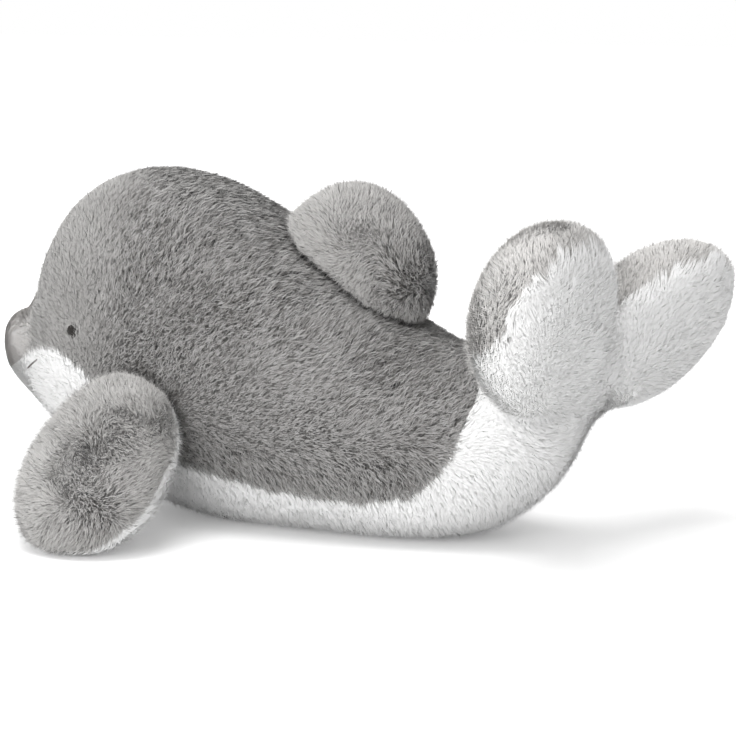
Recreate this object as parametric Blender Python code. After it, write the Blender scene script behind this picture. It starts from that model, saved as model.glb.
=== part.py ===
"""A stuffed toy dolphin in plush fur, lying on its belly with its head and tail raised.

The frame is in metres. The head points along -X, the left side is towards -Y and +Z is up.
The origin is on the floor, under the middle of the toy's bounding box.
Each fur panel is a shell as thick as its cloth with the pile, sewn round a core of fibre filling.
"""

import math

import bmesh
import bpy
import numpy as np
from mathutils import Vector

MM = 0.001

# Cloth and seams
PILE = 8.0 * MM
SNOUT_PILE = 4.0 * MM
FLOOR_PILE = 4.0 * MM
SEAM_GAP = 0.3 * MM
FILLING_GAP = 1.2 * MM

# The body without its snout, fin, flippers and flukes
BODY_LENGTH = 296 * MM
BODY_WIDTH = 128 * MM
BODY_HEIGHT = 178 * MM
BODY_ROUNDNESS = 2.2

# The body's stations from the face to the tail, as drawn before they are stretched to its size:
# the top (x, z), the bottom (x, z), the half width and the angle down from the top to the belly's seam.
BODY_SECTIONS = (
    ((-176, 102), (-177, 74), 15, 112),
    ((-170, 131), (-172, 51), 38, 116),
    ((-153, 160), (-159, 29), 50, 120),
    ((-119, 173), (-132, 5), 59, 123),
    ((-84, 168), (-102, -4), 63, 126),
    ((-50, 152), (-68, -5), 64, 129),
    ((-12, 127), (-30, -5), 62, 129),
    ((20, 106), (8, -5), 57, 124),
    ((42, 95), (45, -2), 51, 115),
    ((58, 91), (72, 7), 44, 94),
    ((71, 94), (93, 22), 38, 66),
    ((82, 101), (106, 39), 33, 50),
    ((92, 110), (115, 60), 29, 44),
    ((101, 116), (119, 78), 24, 42),
    ((107, 117), (119, 92), 16, 42),
)

# A panel is no thicker than this share of the body's half width
SLIM_PANEL = 0.5

# The filling's first and last station, and the steps that each surface is made in
FILLING_START = 0.7
FILLING_END = 13.0
BODY_STEPS = 30
SIDE_STEPS = 9
BELLY_STEPS = 14
FILLING_STEPS = 24
FILLING_SIDES = 20
CUTTER_SIDES = 36
CUTTER_REACH = 400 * MM

# Each seat below is a place inside the body: its station, and its height above the centre line.

# The snout, two panels of short pile
SNOUT_LENGTH = 69 * MM
SNOUT_WIDTH = 56 * MM
SNOUT_RISE = 29 * MM
SNOUT_DROP = 28 * MM
SNOUT_SEAT = (2.55, -10.5 * MM)
SNOUT_AIM = (-1.0, 0.0, -0.06)

# The fin on the back
FIN_LENGTH = 86 * MM
FIN_WIDTH = 86 * MM
FIN_THICKNESS = 46 * MM
FIN_SEAT = (5.35, 30 * MM)
FIN_AIM = (0.80, 0.0, 0.60)
FIN_SQUARENESS = 2.3

# The flippers. Vectors are for the left one, and the right one mirrors it.
FLIPPER_LENGTH = 110 * MM
FLIPPER_WIDTH = 82 * MM
FLIPPER_RISE = 26 * MM
FLIPPER_DROP = 20 * MM
FLIPPER_SEAT = (3.77, -11.5 * MM)
FLIPPER_INSET = 14.5 * MM
FLIPPER_AIM = (0.08, -0.72, -0.64)
FLIPPER_FACE = (-0.15, -0.60, 0.75)
FLIPPER_TAPER = -0.12

# The tail's flukes. The tail is sewn with a slight twist, so that the left fluke lies higher.
FLUKE_SEAT = (12.3, -11.0 * MM)
FLUKE_RISE = 32 * MM
FLUKE_DROP = 18 * MM
FLUKE_TAPER = -0.05
LEFT_FLUKE_LENGTH = 112 * MM
LEFT_FLUKE_WIDTH = 90 * MM
LEFT_FLUKE_AIM = (0.10, -0.76, 0.56)
LEFT_FLUKE_FACE = (-0.95, 0.12, 0.26)
RIGHT_FLUKE_LENGTH = 120 * MM
RIGHT_FLUKE_WIDTH = 75 * MM
RIGHT_FLUKE_AIM = (0.30, 0.90, 0.35)
RIGHT_FLUKE_FACE = (-0.95, 0.17, 0.26)

# Panels and fillings of the snout, the fin, the flippers and the flukes
LOBE_SIDES = 24
LOBE_RINGS = 5
FILLED_LOBE_SIDES = 18
FILLED_LOBE_RINGS = 3
LOBE_FULLNESS = 2.6

# Bead eyes, sunk in pockets of the side panels
EYE_RADIUS = 4.8 * MM
EYE_SINK = 3.2 * MM
EYE_CLEARANCE = 0.3 * MM
EYE_STATION = 2.73
EYE_ANGLE = math.radians(88)

GREY = (0.30, 0.295, 0.285)
WHITE = (0.80, 0.80, 0.79)
FIBRE = (0.85, 0.85, 0.82)
BLACK = (0.015, 0.014, 0.013)

LEFT, RIGHT = -1, 1
LAST_STATION = len(BODY_SECTIONS) - 1


def clear_scene():
    for obj in list(bpy.data.objects):
        bpy.data.objects.remove(obj, do_unlink=True)


def make_material(name, colour, roughness):
    made = bpy.data.materials.new(name)
    made.use_nodes = True
    shader = made.node_tree.nodes["Principled BSDF"]
    shader.inputs["Base Color"].default_value = (*colour, 1.0)
    shader.inputs["Roughness"].default_value = roughness
    shader.inputs["Metallic"].default_value = 0.0
    return made


def sized_sections():
    """The drawn stations in metres and radians, each as one row, stretched to the body's size."""
    rows = np.array([(*top, *bottom, wide, seam) for top, bottom, wide, seam in BODY_SECTIONS], float)
    along, upward, across, seams = [0, 2], [1, 3], 4, 5
    rows[:, along] *= BODY_LENGTH / np.ptp(rows[:, along])
    rows[:, upward] *= BODY_HEIGHT / np.ptp(rows[:, upward])
    rows[:, across] *= BODY_WIDTH / 2 / rows[:, across].max()
    rows[:, seams] = np.radians(rows[:, seams])
    return rows


def smooth_row(rows, at):
    """The row at a fractional index, on a Catmull-Rom curve through all rows."""
    last = len(rows) - 1
    at = min(max(at, 0.0), float(last))
    i = min(int(at), last - 1)
    t = at - i
    before, start, end, after = (rows[min(max(k, 0), last)] for k in (i - 1, i, i + 1, i + 2))
    return 0.5 * (
        2 * start
        + (end - before) * t
        + (2 * before - 5 * start + 4 * end - after) * t**2
        + (3 * start - before - 3 * end + after) * t**3
    )


def section(station):
    """The body's section at or between its stations: centre, up vector, half height, half width, seam angle."""
    row = smooth_row(SECTION_ROWS, station)
    top, bottom = Vector((row[0], 0, row[1])), Vector((row[2], 0, row[3]))
    up = (top - bottom).normalized()
    return (top + bottom) / 2, up, (top - bottom).length / 2, row[4], row[5]


SECTION_ROWS = sized_sections()


def rounded(value, power):
    return math.copysign(abs(value) ** power, value)


def body_point(station, angle):
    """A point on the fur's outer face. The angle starts at the back and runs down the left side."""
    centre, up, high, wide, _ = section(station)
    power = 2 / BODY_ROUNDNESS
    across = -wide * rounded(math.sin(angle), power)
    return centre + up * (high * rounded(math.cos(angle), power)) + Vector((0, across, 0))


def body_normal(station, angle, step=0.05):
    """The way that the fur's outer face looks, from neighbouring points on it."""
    before, after = max(station - step, 0.0), min(station + step, LAST_STATION)
    along = body_point(after, angle) - body_point(before, angle)
    around = body_point(station, angle + step) - body_point(station, angle - step)
    return around.cross(along).normalized()


def body_seat(seat, inset=None):
    """A place inside the body: above its centre line, or in from its left side where an inset is given."""
    station, lift = seat
    centre, up, _, wide, _ = section(station)
    across = 0.0 if inset is None else inset - wide
    return centre + up * lift + Vector((0, across, 0))


def on_floor(point, depth):
    """Keeps a point at this depth in the fur above the floor, where the pile is pressed thin."""
    lowest = FLOOR_PILE * min(depth / PILE, 1.0) + max(depth - PILE, 0.0)
    return Vector((point.x, point.y, max(point.z, lowest)))


def body_skin(station, angle, depth):
    """A point this far under the fur's outer face, or less far where the body is slim."""
    _, _, high, wide, _ = section(station)
    inset = min(depth, SLIM_PANEL * min(high, wide) + max(depth - PILE, 0.0))
    return on_floor(body_point(station, angle) - body_normal(station, angle) * inset, depth)


def new_object(name, made, looks):
    bmesh.ops.remove_doubles(made, verts=made.verts, dist=0.01 * MM)
    bmesh.ops.dissolve_degenerate(made, edges=made.edges, dist=0.01 * MM)
    bmesh.ops.recalc_face_normals(made, faces=made.faces)
    mesh = bpy.data.meshes.new(name)
    made.to_mesh(mesh)
    made.free()
    mesh.materials.append(bpy.data.materials[looks])
    mesh.shade_smooth()
    obj = bpy.data.objects.new(name, mesh)
    bpy.context.scene.collection.objects.link(obj)
    return obj


def add_grid(made, rows, closed=False):
    """Quads between rows of points. Returns the rows as vertices."""
    verts = [[made.verts.new(point) for point in row] for row in rows]
    width = len(rows[0])
    for upper, lower in zip(verts, verts[1:]):
        for k in range(width if closed else width - 1):
            after = (k + 1) % width
            made.faces.new((upper[k], upper[after], lower[after], lower[k]))
    return verts


def close_ring(made, ring, middle):
    """A fan from a ring of vertices to a middle point."""
    hub = made.verts.new(middle)
    for k in range(len(ring)):
        made.faces.new((ring[k], ring[(k + 1) % len(ring)], hub))


def body_panel(name, looks, edges, steps):
    """A shell between two seams, at the angles that edges gives for a section's seam angle."""
    outer, inner = [], []
    for station in np.linspace(0.0, LAST_STATION, BODY_STEPS + 1):
        _, _, high, wide, seam = section(station)
        half_gap = SEAM_GAP / 2 / min(high, wide)
        low, far = edges(seam)
        angles = np.linspace(low + half_gap, far - half_gap, steps + 1)
        outer.append([body_skin(station, a, 0.0) for a in angles])
        inner.append([body_skin(station, a, PILE) for a in angles])
    made = bmesh.new()
    top, under = add_grid(made, outer), add_grid(made, inner)
    for k in range(BODY_STEPS):
        for edge in (0, steps):
            made.faces.new((top[k][edge], top[k + 1][edge], under[k + 1][edge], under[k][edge]))
    for row in (0, BODY_STEPS):
        for k in range(steps):
            made.faces.new((top[row][k], top[row][k + 1], under[row][k + 1], under[row][k]))
    return new_object(name, made, looks)


def body_solid(name, looks, depth, stations, sides):
    """The body through these stations, at one depth under the fur's face, with closed ends.
    A negative depth lies outside the fur, and there it also reaches past both ends.
    """
    made = bmesh.new()
    turns = [2 * math.pi * k / sides for k in range(sides)]
    rows = [[body_skin(station, turn, depth) for turn in turns] for station in stations]
    centres = [section(station)[0] for station in stations]
    if depth < 0:
        rows[0] = [point + (centres[0] - centres[1]).normalized() * -depth for point in rows[0]]
        rows[-1] = [point + (centres[-1] - centres[-2]).normalized() * -depth for point in rows[-1]]
    verts = add_grid(made, rows, closed=True)
    for ring in (verts[0], verts[-1]):
        close_ring(made, ring, sum((v.co for v in ring), Vector()) / sides)
    return new_object(name, made, looks)


class Lobe:
    """A pillow: an oval outline in a plane, with a dome of its own height on each face."""

    def __init__(self, root, ahead, face, length, width, rise, drop, taper=0.0, squareness=2.0):
        self.root = root
        self.ahead = Vector(ahead).normalized()
        face = Vector(face)
        self.face = (face - self.ahead * face.dot(self.ahead)).normalized()
        self.side = self.face.cross(self.ahead)
        self.half_length = length / 2
        self.half_width = width / 2
        self.domes = {1: rise, -1: drop}
        self.taper = taper
        self.power = 2 / squareness

    def point(self, turn, reach, face, depth, gap):
        """turn goes round the outline from the tip, reach from its middle (0) to its edge (1)."""
        ahead = rounded(math.cos(turn), self.power)
        along = ahead * (self.half_length - depth) * reach
        wide = (self.half_width - depth) * (1 - self.taper * ahead)
        across = rounded(math.sin(turn), self.power) * wide * reach
        dome = math.sqrt(max(1 - reach**LOBE_FULLNESS, 0.0))
        out = face * (gap + (self.domes[face] - depth) * dome)
        flat = self.root + self.ahead * (self.half_length + along) + self.side * across + self.face * out
        return on_floor(flat, depth)

    def dome(self, made, face, depth, sides, count, gap=0.0):
        """One face's surface, in rings from the edge of the outline towards its middle."""
        reaches = [math.sin(math.pi / 2 * (1 - i / count)) for i in range(count)]
        turns = [2 * math.pi * k / sides for k in range(sides)]
        rings = [[self.point(t, r, face, depth, gap) for t in turns] for r in reaches]
        verts = add_grid(made, rings, closed=True)
        close_ring(made, verts[-1], self.point(0.0, 0.0, face, depth, gap))
        return verts[0]

    def panel(self, name, looks, face, pile):
        """One face's shell of fur, open towards the filling."""
        made = bmesh.new()
        outer = self.dome(made, face, 0.0, LOBE_SIDES, LOBE_RINGS, SEAM_GAP / 2)
        inner = self.dome(made, face, pile, LOBE_SIDES, LOBE_RINGS, SEAM_GAP / 2)
        for k in range(LOBE_SIDES):
            after = (k + 1) % LOBE_SIDES
            made.faces.new((outer[k], outer[after], inner[after], inner[k]))
        return new_object(name, made, looks)

    def filling(self, name, depth):
        made = bmesh.new()
        for face in (1, -1):
            self.dome(made, face, depth, FILLED_LOBE_SIDES, FILLED_LOBE_RINGS)
        return new_object(name, made, "fibre")


def cut(obj, cutter):
    """Cuts one object from another. The cutter stays as a hidden guide."""
    modifier = obj.modifiers.new("seat", "BOOLEAN")
    modifier.operation = "DIFFERENCE"
    modifier.object = cutter
    cutter.hide_render = True
    cutter.display_type = "WIRE"


def sewn_lobe(name, lobe, panels, cutters, pile=PILE):
    """The lobe's two panels and its filling, each cut back from what it is sewn to."""
    pieces = [
        lobe.panel(f"{name}_{panels[0][0]}_panel", panels[0][1], 1, pile),
        lobe.panel(f"{name}_{panels[1][0]}_panel", panels[1][1], -1, pile),
        lobe.filling(f"{name}_filling", pile + FILLING_GAP),
    ]
    for piece in pieces:
        for cutter in cutters:
            cut(piece, cutter)


def mirrored(vector, side):
    """The vector as given for the left side, or its mirror image for the right side."""
    return Vector((vector[0], -side * vector[1], vector[2]))


def bead(name, looks, centre, radius):
    made = bmesh.new()
    bmesh.ops.create_uvsphere(made, u_segments=16, v_segments=10, radius=radius)
    bmesh.ops.translate(made, vec=centre, verts=made.verts)
    return new_object(name, made, looks)


def past_middle(name, side):
    """A block that fills everything past the toy's middle plane, on the side given."""
    made = bmesh.new()
    bmesh.ops.create_cube(made, size=CUTTER_REACH)
    bmesh.ops.translate(made, vec=(0, side * (CUTTER_REACH - SEAM_GAP) / 2, 0), verts=made.verts)
    return new_object(name, made, "guide")


def make_body():
    """Two grey sides, a white belly and the filling. Returns the side panels."""
    turn = 2 * math.pi
    left = body_panel("left_side_panel", "grey_fur", lambda seam: (0.0, seam), SIDE_STEPS)
    right = body_panel("right_side_panel", "grey_fur", lambda seam: (turn - seam, turn), SIDE_STEPS)
    body_panel("belly_panel", "white_fur", lambda seam: (seam, turn - seam), BELLY_STEPS)
    filled = np.linspace(FILLING_START, FILLING_END, FILLING_STEPS + 1)
    body_solid("body_filling", "fibre", PILE + FILLING_GAP, filled, FILLING_SIDES)
    return {LEFT: left, RIGHT: right}


def make_snout(around_body):
    lobe = Lobe(
        body_seat(SNOUT_SEAT), SNOUT_AIM, (0, 0, 1),
        SNOUT_LENGTH, SNOUT_WIDTH, SNOUT_RISE, SNOUT_DROP,
    )
    panels = (("upper", "grey_fur"), ("lower", "white_fur"))
    sewn_lobe("snout", lobe, panels, (around_body,), SNOUT_PILE)


def make_fin(around_body):
    lobe = Lobe(
        body_seat(FIN_SEAT), FIN_AIM, (0, LEFT, 0),
        FIN_LENGTH, FIN_WIDTH, FIN_THICKNESS / 2, FIN_THICKNESS / 2,
        squareness=FIN_SQUARENESS,
    )
    sewn_lobe("back_fin", lobe, (("left", "grey_fur"), ("right", "grey_fur")), (around_body,))


def make_flipper(name, side, around_body):
    lobe = Lobe(
        mirrored(body_seat(FLIPPER_SEAT, FLIPPER_INSET), side),
        mirrored(FLIPPER_AIM, side), mirrored(FLIPPER_FACE, side),
        FLIPPER_LENGTH, FLIPPER_WIDTH, FLIPPER_RISE, FLIPPER_DROP, FLIPPER_TAPER,
    )
    panels = (("upper", "grey_fur"), ("lower", "white_fur"))
    sewn_lobe(f"{name}_flipper", lobe, panels, (around_body,))


def make_flukes(around_body):
    """Two lobes that meet at the middle of the tail."""
    lobes = {
        LEFT: (LEFT_FLUKE_AIM, LEFT_FLUKE_FACE, LEFT_FLUKE_LENGTH, LEFT_FLUKE_WIDTH),
        RIGHT: (RIGHT_FLUKE_AIM, RIGHT_FLUKE_FACE, RIGHT_FLUKE_LENGTH, RIGHT_FLUKE_WIDTH),
    }
    panels = (("upper", "grey_fur"), ("lower", "white_fur"))
    for side, name in ((LEFT, "left"), (RIGHT, "right")):
        lobe = Lobe(body_seat(FLUKE_SEAT), *lobes[side], FLUKE_RISE, FLUKE_DROP, FLUKE_TAPER)
        other_side = past_middle(f"beyond_{name}_half", -side)
        sewn_lobe(f"{name}_fluke", lobe, panels, (around_body, other_side))


def make_eye(name, side, panel):
    """A bead sunk in the fur, in a pocket of its side panel."""
    surface = body_point(EYE_STATION, EYE_ANGLE) - body_normal(EYE_STATION, EYE_ANGLE) * EYE_SINK
    centre = mirrored(surface, side)
    cut(panel, bead(f"{name}_eye_pocket", "guide", centre, EYE_RADIUS + EYE_CLEARANCE))
    bead(f"{name}_eye", "eye_bead", centre, EYE_RADIUS)


def centre_on_floor():
    """Hangs every object on one empty, which puts the middle of their box over the origin."""
    shown = [obj for obj in bpy.data.objects if not obj.hide_render]
    points = [vert.co for obj in shown for vert in obj.data.vertices]
    middle = [(min(p[axis] for p in points) + max(p[axis] for p in points)) / 2 for axis in (0, 1)]
    toy = bpy.data.objects.new("dolphin", None)
    bpy.context.scene.collection.objects.link(toy)
    toy.location = (-middle[0], -middle[1], 0)
    for obj in bpy.data.objects:
        if obj is not toy:
            obj.parent = toy


def main():
    clear_scene()
    make_material("grey_fur", GREY, 0.95)
    make_material("white_fur", WHITE, 0.95)
    make_material("fibre", FIBRE, 1.0)
    make_material("eye_bead", BLACK, 0.15)
    make_material("guide", BLACK, 1.0)

    sides = make_body()
    whole = np.linspace(0.0, LAST_STATION, BODY_STEPS + 1)
    around_body = body_solid("around_body", "guide", -SEAM_GAP, whole, CUTTER_SIDES)
    make_snout(around_body)
    make_fin(around_body)
    make_flukes(around_body)
    for side, name in ((LEFT, "left"), (RIGHT, "right")):
        make_flipper(name, side, around_body)
        make_eye(name, side, sides[side])
    centre_on_floor()


main()
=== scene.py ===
"""The looks of a stuffed plush dolphin: cloth, fur, bead eyes and a stitched mouth.

Lengths are in metres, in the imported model's frame. The head points along -X, the left side is
towards -Y and +Z is up. Each stuffed form is puffed up as cloth and cut into its panels, and the
fur is grown on it as bent blades, whose tips end at the outer face of the CAD solids.
"""

import math

import bpy
import bmesh
import numpy as np
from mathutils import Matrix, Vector
from mathutils.bvhtree import BVHTree


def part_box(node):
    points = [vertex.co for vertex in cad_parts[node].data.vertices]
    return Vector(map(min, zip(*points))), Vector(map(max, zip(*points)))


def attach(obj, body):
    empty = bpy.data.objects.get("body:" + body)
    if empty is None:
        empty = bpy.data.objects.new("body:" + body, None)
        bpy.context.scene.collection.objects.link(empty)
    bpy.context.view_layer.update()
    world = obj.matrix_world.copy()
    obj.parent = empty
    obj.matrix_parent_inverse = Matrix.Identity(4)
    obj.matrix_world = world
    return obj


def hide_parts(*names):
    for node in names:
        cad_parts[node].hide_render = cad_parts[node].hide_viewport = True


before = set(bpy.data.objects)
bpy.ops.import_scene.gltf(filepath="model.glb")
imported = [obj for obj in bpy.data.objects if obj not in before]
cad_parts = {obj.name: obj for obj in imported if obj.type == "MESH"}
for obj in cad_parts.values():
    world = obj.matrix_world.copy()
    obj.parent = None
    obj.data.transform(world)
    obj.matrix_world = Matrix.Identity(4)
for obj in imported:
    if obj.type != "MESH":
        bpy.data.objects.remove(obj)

MM = 0.001
GREY, WHITE, BEAD = "grey_fur", "white_fur", "eye_bead"
SIDES = ((-1, "left"), (1, "right"))

# Each part of the toy, with the material slot of each of its panels
PARTS = {
    "body": {"left_side": GREY, "right_side": GREY, "belly": WHITE},
    "snout": {"snout_upper": GREY, "snout_lower": WHITE},
    "left_fluke": {"left_fluke_upper": GREY, "left_fluke_lower": WHITE},
    "right_fluke": {"right_fluke_upper": GREY, "right_fluke_lower": WHITE},
    "back_fin": {"back_fin_left": GREY, "back_fin_right": GREY},
    "left_flipper": {"left_flipper_upper": GREY, "left_flipper_lower": WHITE},
    "right_flipper": {"right_flipper_upper": GREY, "right_flipper_lower": WHITE},
}

# Parts that run into each other without a crease are stuffed as one form
FORMS = {
    "body": ("body", "snout", "left_fluke", "right_fluke"),
    "back_fin": ("back_fin",),
    "left_flipper": ("left_flipper",),
    "right_flipper": ("right_flipper",),
}

# The camera, at the photograph's viewing angle in degrees
VIEW_AZIMUTH = 27
VIEW_ELEVATION = 9
VIEW_DISTANCE = 1.3
VIEW_TARGET = Vector((0.0275, 0.0, 0.078))
PICTURE_SIDE = 736
PIXELS_PER_METRE = 2050
SENSOR = 36.0

# The cloth with the fur's dense underside: its depth under the fur's outer face, where the fur is
# rough, where it is calm, where it is white and on the snout, the least depth anywhere, its
# thickness, how far it stays off the floor and the size of its mesh
ROUGH_DEPTH = 4.8 * MM
CALM_DEPTH = 1.5 * MM
WHITE_DEPTH = 0.9 * MM
SNOUT_DEPTH = 0.7 * MM
LEAST_DEPTH = 0.4 * MM
CLOTH_THICK = 1.0 * MM
CLOTH_FLOOR = 2.2 * MM
GRID = 4.0 * MM

# How the cloth is stuffed: the simulation's frames, its pressure and mass, and how far a point moves
PUFF_FRAMES = 20
PUFF_PRESSURE = 4.0
PUFF_MASS = 0.3
PUFF_LIMIT = 1.0 * MM

# How often depths, cloth and combing are evened out over neighbouring points
DEPTH_ROUNDS = 2
CLOTH_ROUNDS = 3
FLOW_ROUNDS = 8

# Where parts of one form meet, their crease is filled out within this reach, at the snout and at the
# flukes. Above the first height, and fully above the second, the snout is also flattened
SNOUT_REACH = 28 * MM
FLUKE_REACH = 40 * MM
CREASE_ROUNDS = 190
SNOUT_FLATTENED = (68 * MM, 82 * MM)

# The face slopes evenly to the snout from points within this distance of it, and the snout's top
# around this point is moved by this much, fading out within this radius
SLOPE_REACH = 24 * MM
SNOUT_TOP = Vector((-0.168, 0.0, 0.100))
SNOUT_TOP_MOVE = Vector((1.0 * MM, 0.0, -3.0 * MM))
SNOUT_TOP_RADIUS = 26 * MM

# Under the throat the belly is lifted off the floor by this much, fully in front of the first X,
# fading out to the second X behind it, and fading out up to this height
THROAT = (-0.100, -0.030)
THROAT_LIFT = 8 * MM
THROAT_HEIGHT = 35 * MM

# Where two forms touch, their fur is pressed down within this distance and darkened with painted
# shade of the crease. The root of a lobe is sunk into the body's pile by this much, from this distance on
PRESSED_REACH = 2.5 * MM
ROOT_SINK = 2.5 * MM
ROOT_REACH = 4 * MM

# The white of the chin: the points (x, z) of its upper edge, from the snout's tip backwards
CHIN_EDGE = (
    (-0.182, 0.063), (-0.170, 0.0675), (-0.160, 0.0725), (-0.145, 0.078), (-0.130, 0.0815), (-0.119, 0.0815),
    (-0.100, 0.072), (-0.090, 0.066),
)

# How far up the sides the belly's white reaches over its seam: the points (x, reach)
BELLY_RISE = ((-0.100, 9 * MM), (-0.030, 8 * MM), (0.040, 3 * MM), (0.080, 0.0))

# How far the edges between grey and white wander, and half the width in which the colours blend
EDGE_WANDER = 1.2 * MM
FLUKE_WANDER = 2.5 * MM
EDGE_BLEND = 2 * MM

# The height of the lower end of each fluke's grey rim, how steeply that end rises to the right of
# the picture on the side that it shows, and from where, the heights between which the rim widens
# over the white side, by how much, and half the height in which it fades at its lower end
FLUKE_EDGE = {"left": 0.103, "right": 0.098}
RIM_SLANT = {"left": 0.85, "right": 0.0}
RIM_START = 0.073
RIM_HEIGHTS = {"left": (0.118, 0.150), "right": (0.108, 0.134)}
RIM_SPREAD = 9 * MM
RIM_BLEND = 5 * MM

# The flukes begin between these distances from the toy's middle plane
FLUKE_ROOT = (5 * MM, 12 * MM)

# The outer side shows between these shares of a normal that point towards the camera
SEEN_SHARES = (-0.1, 0.25)

# From here to here along X, the face's calm fur turns into the body's tousled fur and that into the
# tail's calmer fur. On a lobe it grows calm between these distances from its parting. Then how calm
# the tail is, the least that the body is, the size of the lumps in which that changes, and by how
# much they shift these places
CALM_FACE = (-0.118, -0.066)
CALM_TAIL = (0.11, 0.13)
CALM_LOBE = (13 * MM, 34 * MM)
TAIL_CALM = 0.8
LEAST_CALM = 0.2
CALM_WAVE = 28 * MM
CALM_WANDER = {"body": 14 * MM, "lobe": 8 * MM}

# The body's combing: from where to where along X the face's fades out, the heights between which it
# turns from the belly's angle to the back's, and the angles, in degrees up from the way to the tail
FACE_FLOW = (-0.125, -0.065)
FLOW_HEIGHTS = (28 * MM, 70 * MM)
BELLY_ANGLE = -60
BACK_ANGLE = 38
FACE_ANGLE = 118

# How the combing wanders on the body: by how many degrees, in lumps of which size, with a number
# for the draw. Then how strongly and in which lumps it wanders on the lobes
BODY_TURNS = ((22, 17 * MM, 5), (14, 8 * MM, 8))
LOBE_TURN = 0.75
LOBE_LUMPS = 12 * MM

# Where the fur of each lobe parts: the middle of a line along the lobe, by shares of the box of
# the lobe's filling, and half the length of the line
PARTINGS = {
    "back_fin": ((0.70, 0.5, 0.40), 12 * MM),
    "left_flipper": ((0.63, 0.5, 0.42), 22 * MM),
    "right_flipper": ((0.63, 0.5, 0.42), 22 * MM),
    "left_fluke": ((0.5, 0.45, 0.0), 0.0),
    "right_fluke": ((0.5, 0.25, 0.0), 0.0),
}

# The ends of the mouth's left stitch in the photograph, in pixels, the points along it, and the
# thread's radius and how far it is pressed into the pile at the ends
MOUTH_START = (27.5, 368.0)
MOUTH_END = (37.0, 359.5)
MOUTH_POINTS = 9
THREAD_RADIUS = 0.45 * MM
THREAD_SINK = 0.2 * MM

# How far the eyes are sunk from the place of their CAD beads and set forwards, and the share of
# the beads' radius that is left when the fur laps over them
EYE_SINK = 2.0 * MM
EYE_FORWARDS = 1.6 * MM
EYE_SHARE = 0.9

# How pale the snout's cloth is between grey and white, partly its own paler tone and partly painted
# light on a snout that faces away from the lamps, and how far its fur mixes with the face's
SNOUT_PALE = 0.4
SNOUT_MIX = 6 * MM

# How each kind of fur is grown: blades per square millimetre, how far they lie over, half their
# width, the size of their tufts, how far those gather, and how much single blades stray. Then the
# fine longer hairs between the blades: how many, how far they stand out, and how far they lie over
STYLES = {
    "side": {
        "density": 1.85, "lie": 5.0 * MM, "half": 0.21 * MM, "tuft": 1.7 * MM, "gather": 0.45, "mess": 0.32,
        "fine": 0.9, "stand": 2.2 * MM, "lean": 3.5 * MM,
    },
    "lobe": {
        "density": 2.3, "lie": 5.6 * MM, "half": 0.21 * MM, "tuft": 1.6 * MM, "gather": 0.4, "mess": 0.25,
        "fine": 1.8, "stand": 3.2 * MM, "lean": 2.5 * MM,
    },
    "white": {
        "density": 1.6, "lie": 7.0 * MM, "half": 0.2 * MM, "tuft": 4.0 * MM, "gather": 0.3, "mess": 0.12,
        "fine": 1.0, "stand": 2.4 * MM, "lean": 4.0 * MM,
    },
    "snout": {
        "density": 4.5, "lie": 2.6 * MM, "half": 0.17 * MM, "tuft": 1.5 * MM, "gather": 0.1, "mess": 0.12,
        "fine": 1.2, "stand": 0.7 * MM, "lean": 1.2 * MM,
    },
}

# On the flukes' white side, the fur beside the grey rim is longer and laps over it
FRINGE_REACH = 7 * MM
FRINGE_LIFT = 1.3 * MM

# Below this height the fur is pressed on the floor, and only this share of it grows
UNDERSIDE = 5 * MM
UNDERSIDE_SHARE = 0.45

# White light that the floor adds near the toy, for the camera only, and the distances between which
# it grows to full white. Then the floor's shade, half its side and the light from all around
FLOOR_GLOW = 0.2
GLOW_REACH = (0.25, 0.8)
FLOOR_SHADE = 0.80
FLOOR_REACH = 6.0
WORLD_LIGHT = 0.73

# The soft lamps: name, azimuth and elevation in degrees, distance, size and power. Azimuth 0 is in
# front of the toy's left side
LAMPS = (
    ("top", -20, 80, 1.6, 1.2, 20),
    ("front", 0, 10, 1.7, 1.2, 19.5),
    ("left", -50, 10, 1.7, 1.2, 3),
)

# The seed of the fur's draws, how softly its combing changes from one part of a form to the next,
# how far it stays off the floor, and half the width that a blade takes up in its map
SEED = 7
FLOW_BLEND = 8 * MM
FUR_FLOOR = 0.3 * MM
MAP_WIDTH = 0.003

# By which factors single blades are longer and wider than their style says, how much narrower the
# fine hairs are, and the share of a hair that is left out at its root
BLADE_LENGTHS = (0.75, 1.2)
BLADE_WIDTHS = (0.7, 1.25)
HAIR_WIDTHS = (0.35, 0.6)
HAIR_START = 0.25


def outer_face(name, nodes):
    """The closed outer face of CAD nodes that lie close together, as points and quads."""
    made = bmesh.new()
    for node in nodes:
        made.from_mesh(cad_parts[node].data)
    if "snout_filling" in nodes:
        snout = [panel_tree("snout_upper"), panel_tree("snout_lower")]
        spots = [vert.co.copy() for vert in made.verts]
        near = [spot for spot in spots if any(tree.find_nearest(spot, SLOPE_REACH)[0] for tree in snout)]
        bmesh.ops.convex_hull(made, input=[made.verts.new(spot) for spot in near])
    mesh = bpy.data.meshes.new(name)
    made.to_mesh(mesh)
    made.free()
    obj = bpy.data.objects.new(name, mesh)
    bpy.context.scene.collection.objects.link(obj)
    even = obj.modifiers.new("even", "REMESH")
    even.mode = "VOXEL"
    even.voxel_size = GRID
    shown = obj.evaluated_get(bpy.context.evaluated_depsgraph_get()).to_mesh()
    points = places_of(shown.vertices)
    quads = np.array([face.vertices[:] for face in shown.polygons], dtype=np.int64)
    bpy.data.objects.remove(obj)
    return points, quads


def places_of(verts):
    values = np.zeros(len(verts) * 3, np.float32)
    verts.foreach_get("co", values)
    return values.reshape(-1, 3).astype(float)


def unit(rows):
    return rows / np.maximum(np.linalg.norm(rows, axis=1, keepdims=True), 1e-12)


def triangles(quads):
    return np.concatenate((quads[:, [0, 1, 2]], quads[:, [0, 2, 3]]))


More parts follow.
